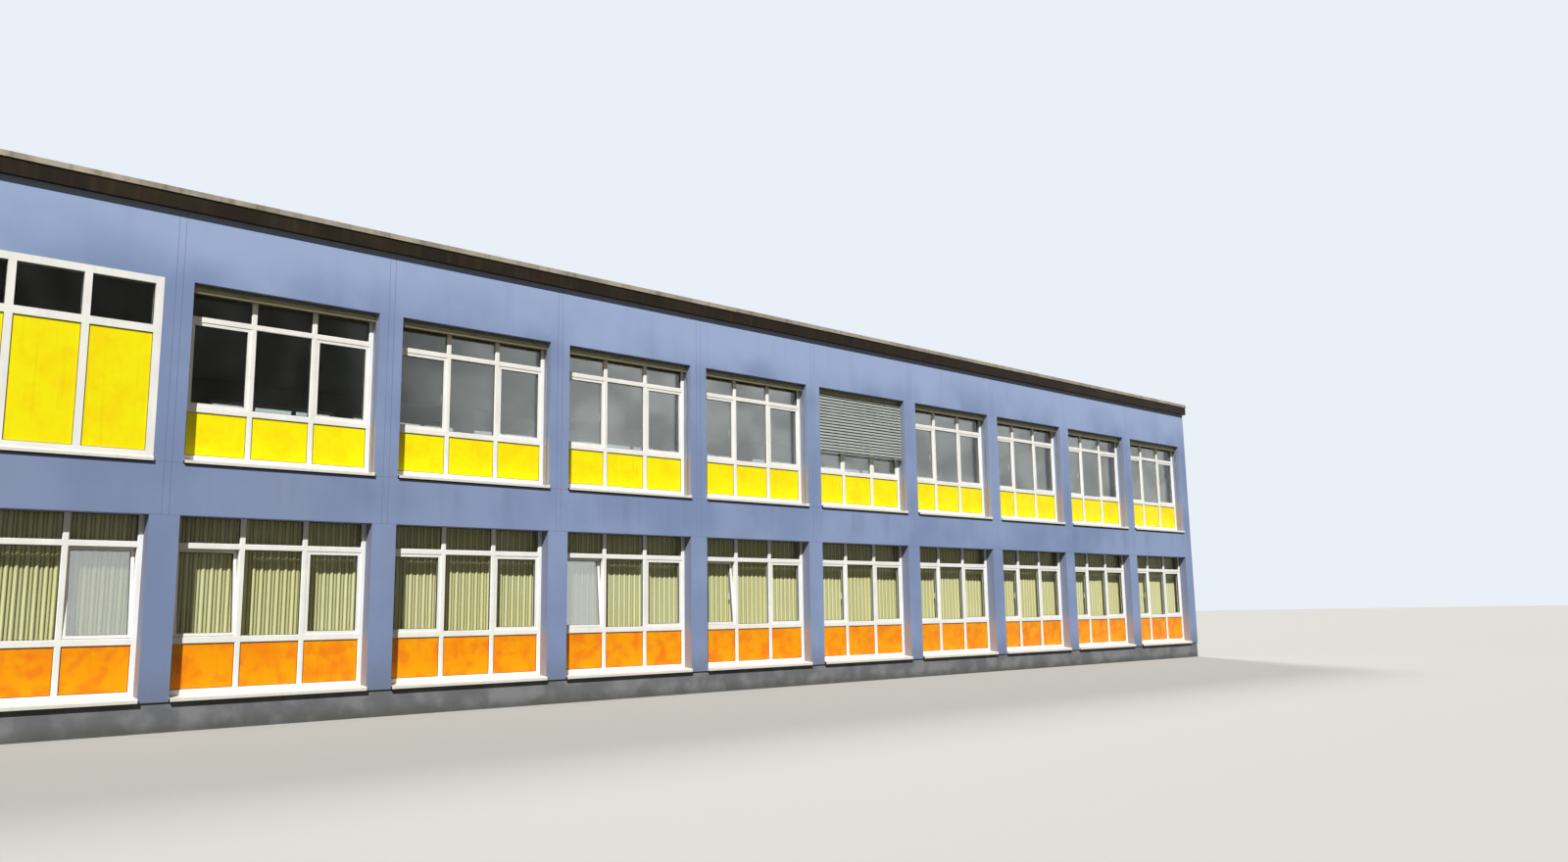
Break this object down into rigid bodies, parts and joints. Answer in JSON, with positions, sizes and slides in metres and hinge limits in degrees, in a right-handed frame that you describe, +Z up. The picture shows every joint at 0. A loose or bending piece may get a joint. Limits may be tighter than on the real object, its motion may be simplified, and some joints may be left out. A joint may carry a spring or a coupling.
{
  "type": "school building",
  "caption": "Flat-roofed two-storey school wing in blue-grey render, with rows of white three-column windows over yellow and orange panels.",
  "frame": {"origin": "centre of the footprint, at the ground under the walls", "axes": "+X along the window front from the tall panel window to the far end, +Y from the front to the back, +Z up"},
  "size_m": [34.115, 10.4, 8.07],
  "materials": {
    "wall_render": "painted mineral render, matt",
    "plinth_render": "painted plinth render, matt",
    "concrete": "cast concrete, matt",
    "roof_gravel": "loose gravel on sealed felt",
    "dark_fascia": "dark painted sheet, satin",
    "edge_trim": "weathered metal coping, satin",
    "white_frame": "white coated window profile, satin",
    "window_glass": "clear double glazing",
    "yellow_panel": "coloured facing panel, semi-gloss",
    "orange_panel": "coloured facing panel, semi-gloss",
    "blind_slat": "coated slats, satin",
    "rail_metal": "natural anodised",
    "curtain_cloth": "woven curtain cloth, matt"
  },
  "bodies": {
    "root": {"front_plinth": "plinth_render", "back_plinth": "plinth_render", "end_plinths": "plinth_render", "ground_floor_slab": "concrete", "upper_floor_slab": "concrete", "roof_slab": "concrete", "roof_covering": "roof_gravel", "front_ground_piers": "wall_render", "front_upper_piers": "wall_render", "back_ground_piers": "wall_render", "back_upper_piers": "wall_render", "front_storey_band": "wall_render", "back_storey_band": "wall_render", "front_eaves_band": "wall_render", "back_eaves_band": "wall_render", "left_end_wall": "wall_render", "right_end_wall": "wall_render", "front_fascia": "dark_fascia", "back_fascia": "dark_fascia", "end_fascias": "dark_fascia", "roof_edge_trim": "edge_trim", "front_ground_frames": "white_frame", "front_ground_vent_frames": "white_frame", "front_upper_frames": "white_frame", "back_ground_frames": "white_frame", "back_upper_frames": "white_frame", "front_sashes": "white_frame", "back_sashes": "white_frame", "tilted_sashes": "white_frame", "front_glass": "window_glass", "back_glass": "window_glass", "orange_panels": "orange_panel", "yellow_panels": "yellow_panel", "front_sills": "white_frame", "back_sills": "white_frame", "tall_window_frame": "white_frame", "tall_yellow_panels": "yellow_panel", "raised_blinds": "blind_slat", "lowered_blind": "blind_slat", "blind_guide_rails": "rail_metal", "curtain_tracks": "rail_metal", "ground_curtains": "curtain_cloth"}
  },
  "joints": []
}
